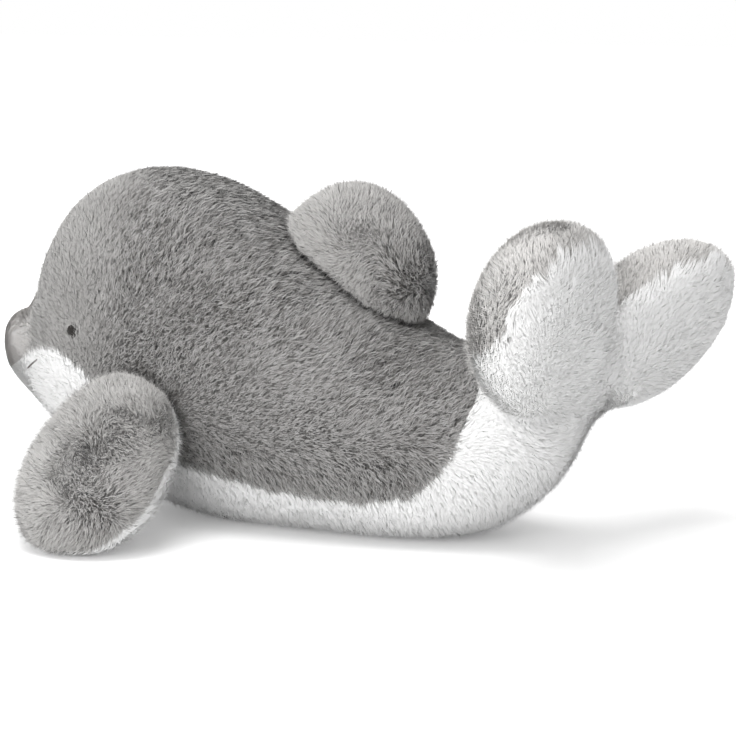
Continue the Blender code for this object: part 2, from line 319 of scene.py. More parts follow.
def point_normals(points, tris):
    a, b, c = (points[tris[:, k]] for k in range(3))
    across = np.cross(b - a, c - a)
    total = np.zeros_like(points)
    for k in range(3):
        np.add.at(total, tris[:, k], across)
    return unit(total)


def eased(points, quads, rounds):
    """Values at the points moved halfway to the mean of their neighbours, several times."""
    starts = quads.reshape(-1)
    ends = np.roll(quads, -1, axis=1).reshape(-1)
    count = np.bincount(starts, minlength=len(points))[:, None]
    for _ in range(rounds):
        total = np.zeros_like(points)
        np.add.at(total, starts, points[ends])
        points = points + (total / count - points) / 2
    return points


def nearest(tree, points):
    """Distance to the nearest face, its normal and the nearest point, for each point."""
    found = [tree.find_nearest(point) for point in points]
    places = np.array([f[0][:] for f in found])
    normals = np.array([f[1][:] for f in found])
    return np.array([f[3] for f in found]), normals, places


def hashed(cells, salt):
    """Even numbers from 0 to 1, one for each whole-number cell."""
    mixed = cells[..., 0] * 73856093 ^ cells[..., 1] * 19349663
    mixed = mixed ^ cells[..., 2] * 83492791 ^ salt * 2654435761
    mixed = ((mixed ^ (mixed >> 13)) * 1274126177) & 0xFFFFFFFF
    mixed = ((mixed ^ (mixed >> 16)) * 2246822519) & 0xFFFFFFFF
    return ((mixed >> 8) & 0xFFFFFF) / float(0x1000000)


def noise(points, size, salt):
    """Smooth noise from -1 to 1, in lumps about this size across."""
    scaled = points / size
    cells = np.floor(scaled).astype(np.int64)
    share = scaled - cells
    share = share * share * (3 - 2 * share)
    total = np.zeros(len(points))
    for corner in np.ndindex(2, 2, 2):
        weight = np.prod(np.where(corner, share, 1 - share), axis=1)
        total += weight * hashed(cells + np.array(corner), salt)
    return total * 2 - 1


def tuft_centres(points, size, salt):
    """For each point, the nearest of scattered centres about this size apart, and its cell."""
    cells = np.floor(points / size).astype(np.int64)
    best = np.full(len(points), np.inf)
    centres = np.zeros_like(points)
    owners = np.zeros_like(cells)
    for step in np.ndindex(3, 3, 3):
        near = cells + np.array(step) - 1
        spread = np.stack([hashed(near, salt + k) for k in range(3)], axis=1)
        centre = (near + spread) * size
        apart = ((points - centre) ** 2).sum(axis=1)
        closer = apart < best
        best[closer] = apart[closer]
        centres[closer] = centre[closer]
        owners[closer] = near[closer]
    return centres, owners


def laid(ways, normals):
    """The ways laid along a surface, as unit vectors."""
    return unit(ways - normals * (ways * normals).sum(axis=1, keepdims=True))


def smooth_step(low, high, values):
    share = np.clip((values - low) / (high - low), 0.0, 1.0)
    return share * share * (3 - 2 * share)


def panel_tree(panel):
    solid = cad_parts[f"{panel}_panel"].data
    corners = [face.vertices[:] for face in solid.polygons]
    return BVHTree.FromPolygons([vert.co for vert in solid.vertices], corners)


def face_tree(form):
    return BVHTree.FromPolygons(form["outer"].tolist(), form["quads"].tolist())


def above(tree, points):
    """How high the points lie over the nearest face of the tree, below 0 inside it."""
    _, normals, places = nearest(tree, points)
    return ((points - places) * normals).sum(axis=1)


def closest_panels(panels, points):
    """The distance from each point to each panel's solid."""
    return np.stack([nearest(panel_tree(panel), points)[0] for panel in panels], axis=1)


def filled_creases(points, quads, near_parts, snout):
    """The points with the creases between the parts of one form filled out. Points move inwards
    only on the upper side of the snout."""
    order = near_parts.argsort(axis=1)
    second = np.take_along_axis(near_parts, order[:, 1:2], axis=1)[:, 0]
    at_snout = (order[:, :2] == snout).any(axis=1)
    share = (1 - smooth_step(0.5, 1.0, second / np.where(at_snout, SNOUT_REACH, FLUKE_REACH)))[:, None]
    held = (1 - at_snout * smooth_step(*SNOUT_FLATTENED, points[:, 2]))[:, None]
    for _ in range(CREASE_ROUNDS):
        normals = point_normals(points, triangles(quads))
        step = (eased(points, quads, 1) - points) * share
        inwards = np.minimum((step * normals).sum(axis=1, keepdims=True), 0.0)
        points = points + step - held * normals * inwards
    points[:, 2] = np.maximum(points[:, 2], 0.0)
    return points


def reshaped_body(points, quads, near_parts):
    """The body's outer face with its creases filled, its throat lifted and its snout's top lowered."""
    points = filled_creases(points, quads, near_parts, FORMS["body"].index("snout"))
    raised = 1 - smooth_step(*THROAT, points[:, 0])
    raised = raised * (1 - smooth_step(0, THROAT_HEIGHT, points[:, 2]))
    points[:, 2] += THROAT_LIFT * raised
    away = np.linalg.norm(points - np.array(SNOUT_TOP), axis=1)
    points += np.array(SNOUT_TOP_MOVE) * (1 - smooth_step(0, SNOUT_TOP_RADIUS, away))[:, None]
    return points


def new_form(name, parts):
    """A form's outer face, and how near each of its points is to each panel and part."""
    panels = [panel for part in parts for panel in PARTS[part]]
    part_of = np.array([index for index, part in enumerate(parts) for _ in PARTS[part]])
    nodes = [f"{panel}_panel" for panel in panels] + [f"{part}_filling" for part in parts]
    points, quads = outer_face(name, nodes)
    apart = closest_panels(panels, points)
    near_parts = [apart[:, part_of == index].min(axis=1) for index in range(len(parts))]
    near_parts = np.stack(near_parts, axis=1)
    if name == "body":
        points = reshaped_body(points, quads, near_parts)
    return {
        "outer": points, "quads": quads, "tris": triangles(quads), "parts": parts,
        "panels": panels, "apart": apart, "near_parts": near_parts,
    }


def cloth_depth(form):
    """How deep the cloth lies under the outer face. On the way the snout's cloth turns paler, partly as
    painted light.
    """
    depth = ROUGH_DEPTH + (CALM_DEPTH - ROUGH_DEPTH) * form["calm"]
    depth = depth + (WHITE_DEPTH - depth) * form["white"]
    if "snout" in form["parts"]:
        snout = form["near_parts"].argmin(axis=1) == form["parts"].index("snout")
        depth = np.where(snout, SNOUT_DEPTH, depth)
        form["white"] = np.where(snout, np.maximum(form["white"], SNOUT_PALE), form["white"])
    return depth


def stuffed_forms():
    """Each form's outer face and the cloth that is stuffed under it, by name."""
    forms = {}
    for name, parts in FORMS.items():
        form = new_form(name, parts)
        if name == "body":
            move_colour_edges(form)
        form["edge"] = beyond_edge(form)
        form["white"] = smooth_step(-EDGE_BLEND, EDGE_BLEND, form["edge"])
        form["calm"] = calm_share(form)
        depth = cloth_depth(form)
        if name != "body":
            rooted = 1 - smooth_step(0, ROOT_REACH, above(face_tree(forms["body"]), form["outer"]))
            depth = depth - (depth + ROOT_SINK) * rooted
        depth = eased(depth[:, None], form["quads"], DEPTH_ROUNDS) + PUFF_LIMIT
        under = form["outer"] - point_normals(form["outer"], form["tris"]) * depth
        under = eased(under, form["quads"], CLOTH_ROUNDS)
        under[:, 2] = np.maximum(under[:, 2], CLOTH_FLOOR)
        form["cloth"] = under
        forms[name] = form
    return forms


def slots_of(form):
    return {panel: slot for part in form["parts"] for panel, slot in PARTS[part].items()}


def move_edge(form, grey, white, below, where):
    """Moves the edge between a grey and a white panel to where below is 0. It is over 0 on the white."""
    g, w = form["panels"].index(grey), form["panels"].index(white)
    apart = form["apart"]
    nearer = np.minimum(apart[:, g], apart[:, w])
    apart[:, g] += where * (nearer + np.maximum(below, 0) - apart[:, g])
    apart[:, w] += where * (nearer + np.maximum(-below, 0) - apart[:, w])


def move_colour_edges(form):
    """The white reaches up the snout, over the belly's seams and round the flukes' lower edges, and
    the grey of each fluke reaches over its rim."""
    x, y, z = form["outer"].T
    edge_x, edge_z = np.array(CHIN_EDGE).T
    below = np.interp(x, edge_x, edge_z) - z
    head = 1 - smooth_step(edge_x[-2], edge_x[-1], x)
    turn = math.radians(VIEW_AZIMUTH)
    across = x * math.cos(turn) + y * math.sin(turn)
    facing = point_normals(form["outer"], form["tris"]) @ np.array(view_back())
    seen = smooth_step(*SEEN_SHARES, facing)
    rise_x, rise = np.array(BELLY_RISE).T
    move_edge(form, "snout_upper", "snout_lower", below, head)
    for side, name in SIDES:
        move_edge(form, f"{name}_side", "belly", below, head * (y * side >= 0))
        edge = FLUKE_EDGE[name] + RIM_SLANT[name] * np.maximum(across - RIM_START, 0.0) * seen
        rim = smooth_step(*FLUKE_ROOT, y * side) * smooth_step(-RIM_BLEND, RIM_BLEND, edge - z) * seen
        move_edge(form, f"{name}_fluke_upper", f"{name}_fluke_lower", edge - z, rim)
        white = form["panels"].index(f"{name}_fluke_lower")
        spread = RIM_SPREAD * smooth_step(*RIM_HEIGHTS[name], z) * (1 - rim)
        wander = noise(form["outer"], 7 * MM, 61) + 0.6 * noise(form["outer"], 3.5 * MM, 62)
        form["apart"][:, white] += np.maximum(spread + FLUKE_WANDER * (wander + 0.5), 0)
        grey = form["panels"].index(f"{name}_side")
        wander = EDGE_WANDER * (1 + noise(form["outer"], 9 * MM, 63))
        form["apart"][:, grey] += (np.interp(x, rise_x, rise) + wander) * (1 - head)


def beyond_edge(form):
    """How far each point lies beyond the edge of the white panels: below 0 on the grey ones."""
    white = np.array([slot == WHITE for slot in slots_of(form).values()])
    if not white.any():
        return np.full(len(form["outer"]), -1.0)
    return form["apart"][:, ~white].min(axis=1) - form["apart"][:, white].min(axis=1)


def calm_share(form):
    """1 where the fur lies smooth, as on the face and at the lobes' edges, and 0 where it is tousled."""
    place = form["outer"]
    wave = noise(place, CALM_WAVE, 41)
    if form["parts"][0] == "body":
        face = 1 - smooth_step(*CALM_FACE, place[:, 0] + CALM_WANDER["body"] * wave)
        tail = smooth_step(*CALM_TAIL, place[:, 0])
        return np.clip(np.maximum(face, TAIL_CALM * tail) + LEAST_CALM + 0.35 * wave, 0.0, 1.0)
    away = np.linalg.norm(from_parting(form["parts"][0], place), axis=1)
    return smooth_step(*CALM_LOBE, away + CALM_WANDER["lobe"] * wave)


def puff_up(forms):
    """Puffs all cloth up with air pressure from inside, each point by a limited way."""
    starts, points, quads = {}, [], []
    for name, form in forms.items():
        starts[name] = sum(len(rows) for rows in points)
        quads.append(form["quads"] + starts[name])
        points.append(form["cloth"])
    rest = np.concatenate(points)
    mesh = bpy.data.meshes.new("stuffing")
    mesh.from_pydata(rest.tolist(), [], np.concatenate(quads).tolist())
    obj = bpy.data.objects.new("stuffing", mesh)
    bpy.context.scene.collection.objects.link(obj)
    cloth = obj.modifiers.new("puff", "CLOTH")
    cloth.settings.quality = 4
    cloth.settings.mass = PUFF_MASS
    cloth.settings.use_pressure = True
    cloth.settings.uniform_pressure_force = PUFF_PRESSURE
    cloth.settings.effector_weights.gravity = 0.0
    cloth.collision_settings.use_collision = False
    cloth.point_cache.frame_end = PUFF_FRAMES
    for step in range(1, PUFF_FRAMES + 1):
        bpy.context.scene.frame_set(step)
    shown = obj.evaluated_get(bpy.context.evaluated_depsgraph_get()).to_mesh()
    puffed = places_of(shown.vertices)
    bpy.data.objects.remove(obj)
    bpy.context.scene.frame_set(1)
    moved = puffed - rest
    length = np.linalg.norm(moved, axis=1, keepdims=True)
    moved *= np.minimum(1.0, PUFF_LIMIT / np.maximum(length, 1e-9))
    puffed = rest + moved
    puffed[:, 2] = np.maximum(puffed[:, 2], CLOTH_FLOOR)
    for name, form in forms.items():
        form["cloth"] = puffed[starts[name]:starts[name] + len(form["cloth"])]


def survey(forms):
    """What each cloth point knows: its normal, how far the fur rises there, how it is combed
    and whether another form covers it."""
    trees = {name: face_tree(form) for name, form in forms.items()}
    for name, form in forms.items():
        form["normals"] = point_normals(form["cloth"], form["tris"])
        _, normals, places = nearest(trees[name], form["cloth"])
        form["rise"] = np.maximum(((places - form["cloth"]) * normals).sum(axis=1), LEAST_DEPTH)
        flow = np.zeros_like(form["cloth"])
        weights = np.exp(-(form["near_parts"] - form["near_parts"].min(axis=1, keepdims=True)) / FLOW_BLEND)
        for index, part in enumerate(form["parts"]):
            flow += laid(flow_of(part, form["cloth"]), form["normals"]) * weights[:, index:index + 1]
        form["flow"] = eased(laid(flow, form["normals"]), form["quads"], FLOW_ROUNDS)
        tips = form["cloth"] + form["normals"] * form["rise"][:, None]
        covered, pressed = np.zeros(len(tips)), np.zeros(len(tips))
        for other, tree in trees.items():
            if other != name:
                low = forms[other]["outer"].min(axis=0) - PRESSED_REACH
                high = forms[other]["outer"].max(axis=0) + PRESSED_REACH
                close = np.flatnonzero(((tips > low) & (tips < high)).all(axis=1))
                if len(close):
                    outside = above(tree, tips[close])
                    covered[close[outside < 0]] = 1.0
                    # How close the tips come to another form: the fur is pressed down there and darkened
                    # with painted crease shade
                    pressed[close] = np.maximum(pressed[close], 1 - smooth_step(0, PRESSED_REACH, outside))
        form["covered"], form["pressed"] = covered, pressed


def make_mesh(name, points, faces):
    """A mesh from arrays of points and of faces with the same number of corners."""
    mesh = bpy.data.meshes.new(name)
    corners = faces.shape[1]
    mesh.vertices.add(len(points))
    mesh.vertices.foreach_set("co", points.astype(np.float32).reshape(-1))
    mesh.loops.add(faces.size)
    mesh.loops.foreach_set("vertex_index", faces.astype(np.int32).reshape(-1))
    mesh.polygons.add(len(faces))
    mesh.polygons.foreach_set("loop_start", np.arange(0, faces.size, corners, dtype=np.int32))
    mesh.update(calc_edges=True)
    mesh.validate()
    return mesh


def new_piece(name, mesh, looks):
    mesh.materials.append(looks)
    obj = bpy.data.objects.new(name, mesh)
    bpy.context.scene.collection.objects.link(obj)
    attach(obj, "root")
    return obj


def add_node(tree, kind, **sockets):
    """A node with its input sockets set or linked by name. An underscore stands for a space."""
    node = tree.nodes.new(kind)
    for key, value in sockets.items():
        socket = node.inputs[key.replace("_", " ")]
        if isinstance(value, bpy.types.NodeSocket):
            tree.links.new(value, socket)
        else:
            socket.default_value = value
    return node


def add_ramp(tree, factor, *stops):
    """A colour ramp through (position, colour) stops."""
    node = tree.nodes.new("ShaderNodeValToRGB")
    tree.links.new(factor, node.inputs["Fac"])
    while len(node.color_ramp.elements) < len(stops):
        node.color_ramp.elements.new(0.5)
    for element, (position, colour) in zip(node.color_ramp.elements, stops):
        element.position = position
        element.color = (*colour, 1.0)
    return node.outputs["Color"]


def multiplied(tree, first, second):
    node = tree.nodes.new("ShaderNodeMix")
    node.data_type = "RGBA"
    node.blend_type = "MULTIPLY"
    node.inputs["Factor"].default_value = 1.0
    tree.links.new(first, node.inputs["A"])
    tree.links.new(second, node.inputs["B"])
    return node.outputs["Result"]


def mixed_by(tree, factor, first, second):
    node = tree.nodes.new("ShaderNodeMix")
    node.data_type = "RGBA"
    tree.links.new(factor, node.inputs["Factor"])
    tree.links.new(first, node.inputs["A"])
    tree.links.new(second, node.inputs["B"])
    return node.outputs["Result"]


def add_math(tree, operation, first, second):
    node = tree.nodes.new("ShaderNodeMath")
    node.operation = operation
    tree.links.new(first, node.inputs[0])
    tree.links.new(second, node.inputs[1])
    return node.outputs[0]


def object_noise(tree, scale, detail):
    """Fine grain that stays in place on the piece."""
    place = tree.nodes.new("ShaderNodeTexCoord").outputs["Object"]
    return add_node(tree, "ShaderNodeTexNoise", Vector=place, Scale=scale, Detail=detail).outputs["Fac"]


def new_material(name, **constants):
    made = bpy.data.materials.new(name)
    made.use_nodes = True
    shader = made.node_tree.nodes["Principled BSDF"]
    for key, value in constants.items():
        shader.inputs[key.replace("_", " ")].default_value = value
    return made, made.node_tree, shader


def fur_material(name, root, middle, tip, shades, sheen, streaked=0.92):
    """Fur whose map holds each blade's shade across and the way from root to tip up."""
    made, tree, shader = new_material(
        name, Sheen_Weight=sheen, Sheen_Roughness=0.45, Specular_IOR_Level=0.15,
    )
    coordinates = tree.nodes.new("ShaderNodeUVMap")
    coordinates.uv_map = "OFBake"
    split = add_node(tree, "ShaderNodeSeparateXYZ", Vector=coordinates.outputs["UV"])
    length = add_ramp(tree, split.outputs["Y"], (0.0, root), (0.45, middle), (1.0, tip))
    shade = add_ramp(tree, split.outputs["X"], *shades)
    stretched = add_node(tree, "ShaderNodeMapping", Vector=coordinates.outputs["UV"], Scale=(90.0, 3.0, 1.0))
    streak = add_node(tree, "ShaderNodeTexNoise", Vector=stretched.outputs["Vector"], Scale=1.0, Detail=2.0)
    streaks = add_ramp(tree, streak.outputs["Fac"], (0.3, (streaked,) * 3), (0.7, (1.0,) * 3))
    colour = multiplied(tree, multiplied(tree, length, shade), streaks)
    tree.links.new(colour, shader.inputs["Base Color"])
    gloss = add_node(tree, "ShaderNodeMapRange", Value=split.outputs["Y"], To_Min=1.0, To_Max=0.72)
    tree.links.new(gloss.outputs["Result"], shader.inputs["Roughness"])
    return made


def cloth_material():
    """The fur's dense underside on its knitted cloth, white where the fur is white. Under tousled fur it is
    far darker than under calm fur, painted shade of the deep gaps between the tufts."""
    made, tree, shader = new_material("fur_underside", Sheen_Weight=0.2, Specular_IOR_Level=0.15)
    grain = object_noise(tree, 900.0, 3.0)
    # Painted shade: under tousled fur the underside is nearly black, standing in for the shade deep between
    # tufts
    rough = add_ramp(tree, grain, (0.3, (0.045, 0.043, 0.042)), (0.7, (0.11, 0.106, 0.102)))
    calm = add_ramp(tree, grain, (0.3, (0.28, 0.274, 0.266)), (0.7, (0.38, 0.373, 0.363)))
    white = add_ramp(tree, grain, (0.3, (0.92, 0.918, 0.912)), (0.7, (0.95, 0.95, 0.948)))
    shares = {}
    for key in ("calm", "white"):
        node = tree.nodes.new("ShaderNodeAttribute")
        node.attribute_name = key
        shares[key] = node.outputs["Fac"]
    grey = mixed_by(tree, shares["calm"], rough, calm)
    tree.links.new(mixed_by(tree, shares["white"], grey, white), shader.inputs["Base Color"])
    gloss = add_node(tree, "ShaderNodeMapRange", Value=grain, To_Min=0.85, To_Max=1.0)
    tree.links.new(gloss.outputs["Result"], shader.inputs["Roughness"])
    bump = add_node(tree, "ShaderNodeBump", Height=grain, Strength=0.4, Distance=0.0004)
    tree.links.new(bump.outputs["Normal"], shader.inputs["Normal"])
    return made


def grey_fur(name, brightness):
    """The grey fur, lighter or darker by a factor. Its lighter copies paint in light that the lobes catch,
    and on the flukes partly stand for a paler grey.
    """
    root, middle, tip = (
        tuple(channel * brightness for channel in colour)
        for colour in ((0.165, 0.161, 0.157), (0.355, 0.349, 0.343), (0.51, 0.503, 0.495))
    )
    # Each blade's tone varies at random; the very dark low end also paints the shade in gaps between tufts
    shades = (
        (0.0, (0.22, 0.21, 0.20)), (0.3, (0.60, 0.59, 0.58)),
        (0.6, (0.88, 0.875, 0.87)), (1.0, (1.0, 1.0, 1.0)),
    )
    return fur_material(name, root, middle, tip, shades, 0.25)


def make_materials():
    return {
        GREY: grey_fur("grey_fur_blades", 0.95),
        # Lighter copies of the grey fur: painted light on the lobes, and on the flukes partly painted light,
        # partly a paler grey
        "lobe_fur": grey_fur("lobe_fur_blades_painted_light", 1.15),
        "fluke_fur": grey_fur("fluke_fur_blades_paler_and_painted_light", 1.65),
        # The snout's fur is paler than the face's grey: partly its own lighter tone, partly painted light
        # where it faces away from the lamps
        "snout_fur": fur_material(
            "snout_fur_blades_paler_and_painted_light", (0.52, 0.504, 0.490), (0.585, 0.567, 0.555), (0.62, 0.603, 0.590),
            ((0.0, (0.93, 0.925, 0.92)), (0.5, (0.97, 0.967, 0.965)), (1.0, (1.0, 1.0, 1.0))), 0.3, 0.97,
        ),
        WHITE: fur_material(
            "white_fur_blades", (0.885, 0.883, 0.877), (0.897, 0.897, 0.894), (0.905, 0.905, 0.905),
            ((0.0, (0.95, 0.947, 0.94)), (0.5, (0.985, 0.985, 0.983)), (1.0, (1.0, 1.0, 1.0))), 0.15, 0.97,
        ),
        "cloth": cloth_material(),
    }


def make_cloth(form, looks):
    """The form's cloth, cut into its panels. Each quad goes to the panel that is nearest to most of
    its corners."""
    nearest_panel = form["apart"].argmin(axis=1)
    owner = np.sort(nearest_panel[form["quads"]], axis=1)[:, 1]
    for index, (panel, slot) in enumerate(slots_of(form).items()):
        quads = form["quads"][owner == index]
        used, faces = np.unique(quads, return_inverse=True)
        mesh = make_mesh(f"{panel}_cloth", form["cloth"][used], faces.reshape(quads.shape))
        mesh.shade_smooth()
        for key in ("white", "calm"):
            layer = mesh.attributes.new(key, "FLOAT", "POINT")
            layer.data.foreach_set("value", form[key][used].astype(np.float32))
        piece = new_piece(f"{panel}_cloth", mesh, looks["cloth"])
        thicken = piece.modifiers.new("thickness", "SOLIDIFY")
        thicken.thickness = CLOTH_THICK
        thicken.offset = -1.0
        fillings = [f"{part}_filling" for part in form["parts"] if panel == next(iter(PARTS[part]))]
        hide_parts(f"{panel}_panel", *fillings)


def from_parting(part, points):
    """The way to each point from the line where the part's fur parts."""
    low, high = (np.array(corner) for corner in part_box(f"{part}_filling"))
    shares, half = PARTINGS[part]
    spots = places_of(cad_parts[f"{part}_filling"].data.vertices)
    longest = np.linalg.svd(spots - spots.mean(axis=0), full_matrices=False)[2][0]
    away = points - low - (high - low) * np.array(shares)
    return away - np.clip(away @ longest, -half, half)[:, None] * longest


def turned_noise(points, size, salt):
    """Three smooth noises at once, for turning a direction."""
    return np.stack([noise(points, size, salt + k) for k in range(3)], axis=1)


def body_flow(points):
    """The body's fur fans out: forwards on the face, upwards at the back, down at the belly's seam."""
    height = points[:, 2] + 10 * MM * noise(points, 30 * MM, 3)
    angle = BELLY_ANGLE + (BACK_ANGLE - BELLY_ANGLE) * smooth_step(*FLOW_HEIGHTS, height)
    face = 1 - smooth_step(*FACE_FLOW, points[:, 0] + 10 * MM * noise(points, 26 * MM, 6))
    angle = np.radians(angle + face * (FACE_ANGLE - angle))
    angle += sum(np.radians(turn) * noise(points, size, salt) for turn, size, salt in BODY_TURNS)
    return np.stack((np.cos(angle), np.zeros(len(points)), np.sin(angle)), axis=1)


def flow_of(part, points):
    """The way that a part's fur is combed at these points, before it is laid along the cloth."""
    if part == "body":
        return body_flow(points)
    if part == "snout":
        return np.tile((1.0, 0.0, 0.15), (len(points), 1))
    return unit(from_parting(part, points)) + LOBE_TURN * turned_noise(points, LOBE_LUMPS, 51)


def style_of(panel, slot):
    if "snout" in panel:
        return STYLES["snout"]
    if slot == WHITE:
        return STYLES["white"]
    return STYLES["side" if "side" in panel else "lobe"]


def scattered(form, index, density, random):
    """Roots spread evenly over one panel of the form, and what the cloth knows there."""
    tris = form["tris"]
    a, b, c = (form["cloth"][tris[:, k]] for k in range(3))
    areas = np.linalg.norm(np.cross(b - a, c - a), axis=1) / 2
    count = int(areas.sum() / MM**2 * density)
    picked = np.searchsorted(np.cumsum(areas), random.random(count) * areas.sum())
    picked = np.minimum(picked, len(tris) - 1)
    first, second = random.random((2, count))
    over = first + second > 1
    first[over], second[over] = 1 - first[over], 1 - second[over]
    shares = np.stack((1 - first - second, first, second), axis=1)

    def at_roots(values):
        weights = shares.reshape(-1, 3, *(1,) * (values.ndim - 1))
        return sum(values[tris[picked, k]] * weights[:, k] for k in range(3))

    apart = at_roots(form["apart"])
    snout = np.array(["snout" in panel for panel in form["panels"]])
    apart += snout * random.normal(scale=SNOUT_MIX, size=(count, 1))
    own = (apart.argmin(axis=1) == index) & (at_roots(form["covered"]) < 0.5)
    own &= (at_roots(form["cloth"])[:, 2] > UNDERSIDE) | (random.random(count) < UNDERSIDE_SHARE)
    kept = ("cloth", "normals", "rise", "flow", "calm", "pressed", "edge")
    found = {key: at_roots(form[key])[own] for key in kept}
    found["normals"] = unit(found["normals"])
    return found


def shading(normals, blade_normals, along, softness):
    """Normals for a blade's shading, between those of the pile as a whole and its own."""
    own = blade_normals * np.sign((blade_normals * normals).sum(axis=1, keepdims=True) + 1e-9)
    return unit(normals * softness + own * (1.1 - softness) + along * 0.1)


def blades(found, style, smooth, fringed, random, salt):
    """Bent blades of two triangles each: their points, faces, map and normals."""
    roots, normals, flow = found["cloth"], found["normals"], found["flow"]
    count = len(roots)
    calm = np.ones(count) if smooth else found["calm"]
    fringe = 1 - smooth_step(0, FRINGE_REACH, found["edge"]) if fringed else np.zeros(count)
    rough, free = 1 - calm, 1 - found["pressed"]
    sweep = np.clip(np.linalg.norm(flow, axis=1), 0.25, 1.0)

    centres, owners = tuft_centres(roots, style["tuft"], salt * 11)
    gather = centres - roots
    gather -= normals * (gather * normals).sum(axis=1, keepdims=True)
    gather *= (style["gather"] * (0.4 + 0.6 * rough))[:, None]
    tuft_tone, tuft_tilt = hashed(owners, 17), hashed(owners, 23)
    tuft_turn = np.stack([hashed(owners, 29 + k) - 0.5 for k in range(3)], axis=1)
    stray = (0.3 + 0.7 * rough)[:, None] * (0.8 * tuft_turn + style["mess"] * random.normal(size=(count, 3)))
    along = laid(unit(flow) + stray + (1 - sweep)[:, None] * random.normal(size=(count, 3)), normals)

    length = random.uniform(*BLADE_LENGTHS, count) * (0.9 + 0.2 * tuft_tilt)
    length = length * (0.6 + 0.4 * free) * (1 + 0.5 * fringe)
    reach = (style["lie"] * (0.7 + 0.3 * rough) * length * sweep)[:, None]
    spread = 0.04 + 0.20 * rough
    height = found["rise"] * (0.95 + spread * random.uniform(-1.2, 0.8, count) + spread * (tuft_tilt - 0.5))
    height = (height * (0.45 + 0.55 * free) + FRINGE_LIFT * fringe)[:, None]
    middles = roots + normals * height * 0.8 + along * reach * 0.3 + gather * 0.5
    tips = roots + normals * height + along * reach + gather
    facing = unit(normals + (0.12 + 0.33 * rough)[:, None] * random.normal(size=(count, 3)))
    across = unit(np.cross(tips - roots, facing))
    half = (style["half"] * random.uniform(*BLADE_WIDTHS, count))[:, None]
    points = np.stack((roots, middles - across * half, middles + across * half, tips), axis=1)
    order = np.arange(count)[:, None] * 4
    faces = np.stack((order + (0, 2, 1), order + (1, 2, 3)), axis=1).reshape(-1, 3)

    # Tone varies at random per blade and per tuft, most where the fur is tousled, where the dark blades also
    # paint the shade between tufts
    tone = (0.04 + 0.36 * rough) * random.normal(size=count) + (0.05 + 0.5 * rough) * (tuft_tone - 0.5)
    # Fur close to another form is darkened: painted shade in the crease where the forms meet
    tone += 0.62 + (0.08 + 0.08 * rough) * noise(roots, 22 * MM, 31) - 0.6 * found["pressed"]
    soft = shading(normals, unit(np.cross(across, tips - middles)), along, 0.7 if smooth else 0.4)
    shades = np.repeat(soft[:, None], 4, axis=1)
    shades[:, 1] -= across * 0.2
    shades[:, 2] += across * 0.2
    return points, faces, mapped(tone, (0.0, 0.5, 0.5, 1.0), (0, -1, 1, 0)), unit(shades.reshape(-1, 3))


def fine_hairs(found, style, random):
    """Fine straight hairs of one triangle each, which stand out of the pile."""
    roots, normals, flow = found["cloth"], found["normals"], found["flow"]
    count = len(roots)
    along = laid(unit(flow) + 0.45 * random.normal(size=(count, 3)), normals)
    free = (1 - 0.8 * found["pressed"])[:, None]
    stand = found["rise"][:, None] + style["stand"] * free * random.uniform(0.2, 1.0, (count, 1))
    tips = roots + normals * stand + along * style["lean"] * random.uniform(0.5, 1.1, (count, 1))
    across = unit(np.cross(tips - roots, normals + 0.6 * random.normal(size=(count, 3))))
    half = style["half"] * random.uniform(*HAIR_WIDTHS, (count, 1))
    starts = roots + (tips - roots) * HAIR_START
    points = np.stack((starts - across * half, starts + across * half, tips), axis=1)
    faces = np.arange(count * 3).reshape(-1, 3)
    tone = np.clip(0.75 + 0.12 * random.normal(size=count), 0.02, 0.98)
    softness = np.where(found["edge"] > 0, 0.7, 0.1 + 0.4 * found["calm"])[:, None]
    own = unit(np.cross(across, tips - roots))
    shades = np.repeat(shading(normals, own, along, softness)[:, None], 3, axis=1)
    return points, faces, mapped(tone, (0.5, 0.5, 1.0), (-1, 1, 0)), shades.reshape(-1, 3)


def mapped(tone, ups, sides):
    """Map places for each blade's points: its tone across and the way from root to tip up."""
    tone = np.clip(tone, 2 * MAP_WIDTH, 1 - 2 * MAP_WIDTH)
    places = [
        np.stack((tone + MAP_WIDTH * side, np.full(len(tone), up)), axis=1)
        for up, side in zip(ups, sides)
    ]
    return np.stack(places, axis=1)


def grow_fur(form, index, panel, slot, looks, salt):
    """One panel's fur, of bent blades and of fine hairs that stand out of them."""
    random = np.random.default_rng(SEED + salt)
    style = style_of(panel, slot)
    smooth = slot == WHITE or "snout" in panel
    fringed = "fluke_lower" in panel
    pile = blades(scattered(form, index, style["density"], random), style, smooth, fringed, random, salt)
    hairs = fine_hairs(scattered(form, index, style["fine"], random), style, random)
    start = pile[0].shape[0] * 4
    points = np.concatenate((pile[0].reshape(-1, 3), hairs[0].reshape(-1, 3)))
    points[:, 2] = np.maximum(points[:, 2], FUR_FLOOR + 0.4 * MM * random.random(len(points)))
    faces = np.concatenate((pile[1], hairs[1] + start))
    corners = np.concatenate((pile[2].reshape(-1, 2), hairs[2].reshape(-1, 2)))
    mesh = make_mesh(f"{panel}_fur", points, faces)
    layer = mesh.uv_layers.new(name="OFBake")
    layer.data.foreach_set("uv", corners[faces.reshape(-1)].astype(np.float32).reshape(-1))
    mesh.shade_smooth()
    mesh.normals_split_custom_set_from_vertices(np.concatenate((pile[3], hairs[3])).tolist())
    fur_or_lit_copy = slot
    # Lobes, flukes and the snout take lighter fur, which is partly painted light
    if slot == GREY and "side" not in panel:
        fur_or_lit_copy = next((f"{part}_fur" for part in ("snout", "fluke") if part in panel), "lobe_fur")
    new_piece(f"{panel}_fur", mesh, looks[fur_or_lit_copy])


